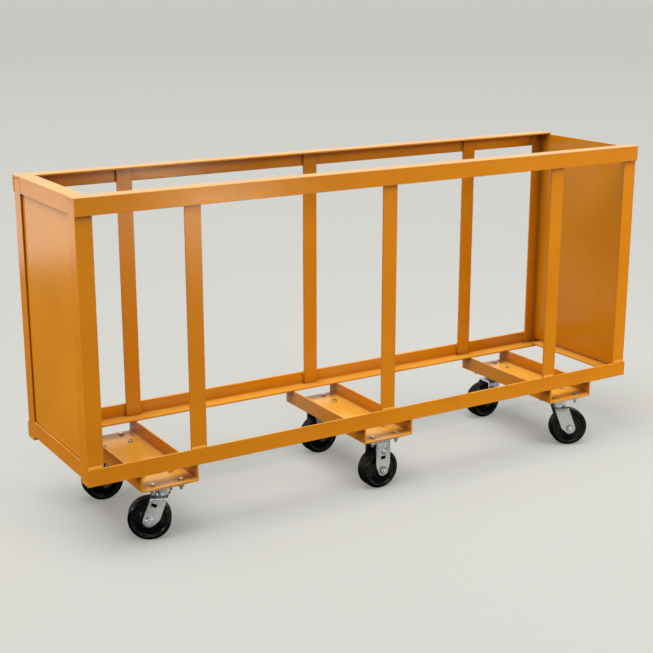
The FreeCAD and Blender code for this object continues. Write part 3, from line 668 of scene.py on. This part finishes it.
def moulded_polymer(name, tread, highlight_rings):
    """Hard black polymer from a turned mould: near black, with faint flow clouds and the mould's fine
    rings on its sides, read from each point's distance to the axle in millimetres. The tread is rubbed
    dull and grey with dust, and patches along the ring edges are painted pale as a painted highlight."""
    flow_size = 25 * mm
    scuff_size = 4 * mm
    scuff_height = 0.02 * mm
    ring_pitch = 1.3
    ring_height = 0.006 * mm
    edge_width = 1.3
    worn_from, worn_full = tread - 3, tread - 0.5
    roughness = (0.1, 0.18)
    worn_roughness = 0.42
    deep_black = linear("#050506")
    flow_black = linear("#090A0B")
    dust_grey = linear("#161514")
    ring_highlight_grey = linear("#3A3A3B")
    material = bpy.data.materials.new(name)
    material.use_nodes = True
    tree = material.node_tree
    shader = tree.nodes["Principled BSDF"]
    place = add(tree, "TexCoord", {}).outputs["Object"]
    reach = add(tree, "Attribute", {}, attribute_name="reach").outputs["Fac"]
    flow = add(tree, "TexNoise", {"Vector": place, "Scale": 1 / flow_size, "Detail": 4.0}).outputs["Fac"]
    scuff = add(tree, "TexNoise", {"Vector": place, "Scale": 1 / scuff_size, "Detail": 4.0}).outputs["Fac"]
    worn = add(tree, "MapRange", {"Value": reach, "From Min": worn_from, "From Max": worn_full}).outputs[0]
    rubbed = add(tree, "MapRange", {"Value": scuff, "From Min": 0.3, "From Max": 0.65}).outputs[0]
    dusty = add(tree, "Math", {0: worn, 1: rubbed}, operation="MULTIPLY").outputs[0]
    tone = add(tree, "MapRange", {"Value": flow, "From Min": 0.35, "From Max": 0.7}).outputs[0]
    black = add(tree, "Mix", {0: tone, 6: deep_black, 7: flow_black}, data_type="RGBA").outputs[2]
    black = add(tree, "Mix", {0: dusty, 6: black, 7: dust_grey}, data_type="RGBA").outputs[2]
    # Painted highlight: the ring edges turn pale grey in scuffed patches
    for edge in highlight_rings:
        beside = add(tree, "Math", {0: reach, 1: edge}, operation="SUBTRACT").outputs[0]
        apart = add(tree, "Math", {0: beside}, operation="ABSOLUTE").outputs[0]
        pale = add(tree, "MapRange", {"Value": apart, "From Min": edge_width, "From Max": 0.0,
                                      "To Max": rubbed}).outputs[0]
        black = add(tree, "Mix", {0: pale, 6: black, 7: ring_highlight_grey}, data_type="RGBA").outputs[2]
    tree.links.new(black, shader.inputs["Base Color"])
    shader.inputs["Specular IOR Level"].default_value = 0.2
    gloss = add(tree, "MapRange", {"Value": scuff, "From Min": 0.3, "From Max": 0.7,
                                   "To Min": roughness[0], "To Max": roughness[1]}).outputs[0]
    rough = add(tree, "Mix", {0: worn, 2: gloss, 3: worn_roughness}).outputs[0]
    tree.links.new(rough, shader.inputs["Roughness"])
    turns = add(tree, "Math", {0: reach, 1: 2 * math.pi / ring_pitch}, operation="MULTIPLY").outputs[0]
    rings = add(tree, "Math", {0: turns}, operation="SINE").outputs[0]
    ringed = add(tree, "Bump", {"Height": rings, "Distance": ring_height}).outputs[0]
    relief = add(tree, "Bump", {"Height": scuff, "Distance": scuff_height, "Normal": ringed}).outputs[0]
    tree.links.new(relief, shader.inputs["Normal"])
    return material


def rounded_section(section):
    """A half-section whose every corner is a true arc, in millimetres: each arc leaves and meets its two
    sides at the radius times the tangent of half the turn, as a rational quadratic curve weighted by that
    half turn's cosine."""
    points = np.array([corner[:2] for corner in section], float)
    radii = np.array([corner[2] for corner in section], float)
    before = np.roll(points, 1, axis=0) - points
    after = np.roll(points, -1, axis=0) - points
    before[0] = after[-1] = (0, -1)
    before /= np.linalg.norm(before, axis=1)[:, None]
    after /= np.linalg.norm(after, axis=1)[:, None]
    half_turn = np.arccos(np.clip(-(before * after).sum(axis=1), -1, 1)) / 2
    reach = (radii * np.tan(half_turn))[:, None, None]
    weight = np.cos(half_turn)[:, None, None]
    share = np.linspace(0, 1, arc_rows)[None, :, None]
    first = (1 - share) ** 2
    corner = 2 * share * (1 - share) * weight
    last = share ** 2
    total = first + corner + last
    bend = points[:, None] + reach * (first * before[:, None] + last * after[:, None]) / total
    return bend.reshape(-1, 2)


def moulded_wheel(centre, axis):
    """The section turned round the axle, its other half mirrored, with rows added along its straights.
    The tread has a thin line of flash at its middle, and the web one sunk round gate mark on each
    side."""
    half = rounded_section(wheel_section)
    section = np.concatenate([half, half[::-1] * (1, -1)])
    section = np.concatenate([section, section[:1]])
    way = np.concatenate([[0], np.cumsum(np.linalg.norm(np.diff(section, axis=0), axis=1))])
    marks = np.unique(np.round(np.union1d(way, np.arange(0, way[-1], wheel_row)), 2))
    radius = np.interp(marks, way, section[:, 0])[:, None] * mm
    offset = np.interp(marks, way, section[:, 1])[:, None] * mm
    angle = np.linspace(0, 2 * np.pi, wheel_columns, endpoint=False)[None, :]
    gate = np.hypot(radius * np.cos(angle) - gate_place, radius * np.sin(angle)) / gate_radius
    sunk = gate_depth / (1 + gate ** 8)
    plain = 1 - np.exp(-(offset / flash_width) ** 2)
    tread = radius > (radius.max() - flash_band)
    reach = radius - flash_height * plain * tread + 0 * angle
    along = offset - np.sign(offset) * sunk
    level = np.cross(axis, Z_AXIS)
    spokes = np.cos(angle)[..., None] * Z_AXIS + np.sin(angle)[..., None] * level
    return centre + along[..., None] * axis + reach[..., None] * spokes


# The hub and web ring edges carry the painted highlight
wheel_polymer = moulded_polymer("moulded_black_polymer", tread_radius, (hub_ring, web_ring))
for place in places:
    centre = np.array(rolls[place]["pos_m"])
    axis = np.array(rolls[place]["axis"])
    piece = skin("moulded_wheel_" + place, [moulded_wheel(centre, axis)], wheel_polymer, "rolling_" + place)
    points = np.empty(3 * len(piece.data.vertices))
    piece.data.vertices.foreach_get("co", points)
    out = points.reshape(-1, 3) - centre
    out = np.linalg.norm(out - np.outer(out @ axis, axis), axis=1) / mm
    piece.data.attributes.new("reach", "FLOAT", "POINT").data.foreach_set("value", out)
    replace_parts(piece, "wheel_" + place)

# Floor
# A plain pale matt floor that runs out to the horizon. To the camera and in gloss it looks a little lighter
# than the lamps make it, and less so far away, so the cart's shadow stays soft.
floor_reach = 150
floor_near, floor_far = 2.0, 22.0
floor_glow_near, floor_glow_far = 0.21, 0.12
floor_mesh = bpy.data.meshes.new("floor")
floor_mesh.from_pydata([(-floor_reach, -floor_reach, 0), (floor_reach, -floor_reach, 0),
                        (floor_reach, floor_reach, 0), (-floor_reach, floor_reach, 0)], [], [(0, 1, 2, 3)])
floor = bpy.data.objects.new("floor", floor_mesh)
bpy.context.scene.collection.objects.link(floor)
floor_paint = bpy.data.materials.new("pale_matt_floor")
floor_paint.use_nodes = True
tree = floor_paint.node_tree
floor_shader = tree.nodes["Principled BSDF"]
floor_shader.inputs["Base Color"].default_value = linear("#8A8A86")
floor_shader.inputs["Roughness"].default_value = 0.9
floor_shader.inputs["Specular IOR Level"].default_value = 0.0
floor_shader.inputs["Emission Color"].default_value = linear("#FFFFFA")
place = add(tree, "TexCoord", {}).outputs["Object"]
distance = add(tree, "VectorMath", {0: place}, operation="LENGTH").outputs["Value"]
glow = add(tree, "MapRange", {"Value": distance, "From Min": floor_near, "From Max": floor_far,
                              "To Min": floor_glow_near, "To Max": floor_glow_far}).outputs[0]
path = add(tree, "LightPath", {})
mirrored = add(tree, "Math", {0: path.outputs["Is Glossy Ray"], 1: path.outputs["Is Transmission Ray"]},
               operation="MAXIMUM").outputs[0]
seen = add(tree, "Math", {0: path.outputs["Is Camera Ray"], 1: mirrored}, operation="MAXIMUM").outputs[0]
shown = add(tree, "Math", {0: glow, 1: seen}, operation="MULTIPLY").outputs[0]
tree.links.new(shown, floor_shader.inputs["Emission Strength"])
floor_mesh.materials.append(floor_paint)

# Flags
# Black studio cloth laid flat on the floor beside and under the cart, seen only in reflections.
# It keeps the near floor out of the gloss of the front, the left end and the undersides.
flag_height = 4 * mm
flags = (("left_flag", (-5.0, -0.5), (-0.95, 3.6)),
         ("front_flag", (-5.0, -7.0), (0.45, -0.58)),
         ("right_flag", (0.45, -7.0), (6.0, -0.75)),
         ("under_flag", (-0.95, -0.3), (1.0, 0.5)))
flag_cloth = bpy.data.materials.new("black_flag_cloth")
flag_cloth.use_nodes = True
flag_shader = flag_cloth.node_tree.nodes["Principled BSDF"]
flag_shader.inputs["Base Color"].default_value = linear("#1A1A1A")
flag_shader.inputs["Roughness"].default_value = 1.0
for name, low, high in flags:
    flag_mesh = bpy.data.meshes.new(name)
    flag_mesh.from_pydata([(low[0], low[1], flag_height), (high[0], low[1], flag_height),
                           (high[0], high[1], flag_height), (low[0], high[1], flag_height)],
                          [], [(0, 1, 2, 3)])
    flag_mesh.materials.append(flag_cloth)
    flag = bpy.data.objects.new(name, flag_mesh)
    bpy.context.scene.collection.objects.link(flag)
    flag.visible_camera = False
    flag.visible_diffuse = False
    flag.visible_shadow = False
    flag.visible_transmission = False

# Lamps
# One broad key from above the left, a fill from the front right and a soft box at the left light the cart.
# The left box and three smaller ones show in its gloss; the fill, behind its grid, doesn't.
key_level = 1.35
key_height = math.radians(74)
key_side = math.radians(56)
key_breadth = math.radians(50)
key = bpy.data.objects.new("key", bpy.data.lights.new("key", "SUN"))
key.data.energy = key_level * math.pi
key.data.angle = key_breadth
key.rotation_euler = (math.pi / 2 - key_height, 0, -key_side)
bpy.context.scene.collection.objects.link(key)
grid_spread = math.radians(80)
# Each lamp's place, its tilt and turn in degrees, its size and its power in watts
lamps = (("fill", (3.4, -3.6, 1.7), (75, 38), (2.4, 1.5), 30),
         ("left_box", (-4.2, -0.3, 0.9), (86, -90), (1.2, 0.8), 7.4),
         ("front_box", (-1.6, -3.9, 0.75), (88, -22), (2.0, 0.5), 4.2),
         ("sheen_box", (1.25, -3.9, 0.26), (90, 27), (0.42, 0.42), 1.7),
         ("end_box", (-2.3, 3.65, 0.27), (90, 199), (0.9, 0.5), 0.24))
for name, place, (tilt, turn), size, power in lamps:
    lamp = bpy.data.objects.new(name, bpy.data.lights.new(name, "AREA"))
    lamp.data.energy = power
    lamp.data.shape = "RECTANGLE"
    lamp.data.size = size[0]
    lamp.data.size_y = size[1]
    lamp.data.spread = grid_spread
    lamp.location = place
    lamp.rotation_euler = (math.radians(tilt), 0, math.radians(turn))
    lamp.visible_camera = False
    lamp.visible_glossy = name != "fill"
    lamp.visible_diffuse = name in ("fill", "left_box")
    bpy.context.scene.collection.objects.link(lamp)

# Sky
# The pale walls and ceiling of the studio, as a strength by direction: an even rim at the horizon, and above
# that dark in front of the cart, bright behind it, and between the two overhead.
sky_rim = 0.58
sky_front = 0.06
sky_back = 1.15
sky_high = 0.5
rim_low, rim_high = 0.06, 0.16
side_turn = 0.7
overhead = 0.8
world = bpy.data.worlds.new("studio")
world.use_nodes = True
bpy.context.scene.world = world
tree = world.node_tree
toward = add(tree, "TexCoord", {}).outputs["Generated"]
heading = add(tree, "SeparateXYZ", {0: toward})
low_sky = add(tree, "MapRange", {"Value": heading.outputs["Y"], "From Min": -side_turn, "From Max": side_turn,
                                 "To Min": sky_front, "To Max": sky_back}).outputs[0]
high_sky = add(tree, "MapRange", {"Value": heading.outputs["Z"], "From Min": 0.0, "From Max": overhead,
                                  "To Min": low_sky, "To Max": sky_high}).outputs[0]
level = add(tree, "MapRange", {"Value": heading.outputs["Z"], "From Min": rim_low, "From Max": rim_high,
                               "To Min": sky_rim, "To Max": high_sky}).outputs[0]
tree.links.new(level, tree.nodes["Background"].inputs["Strength"])
tree.nodes["Background"].inputs["Color"].default_value = linear("#FFFFFA")
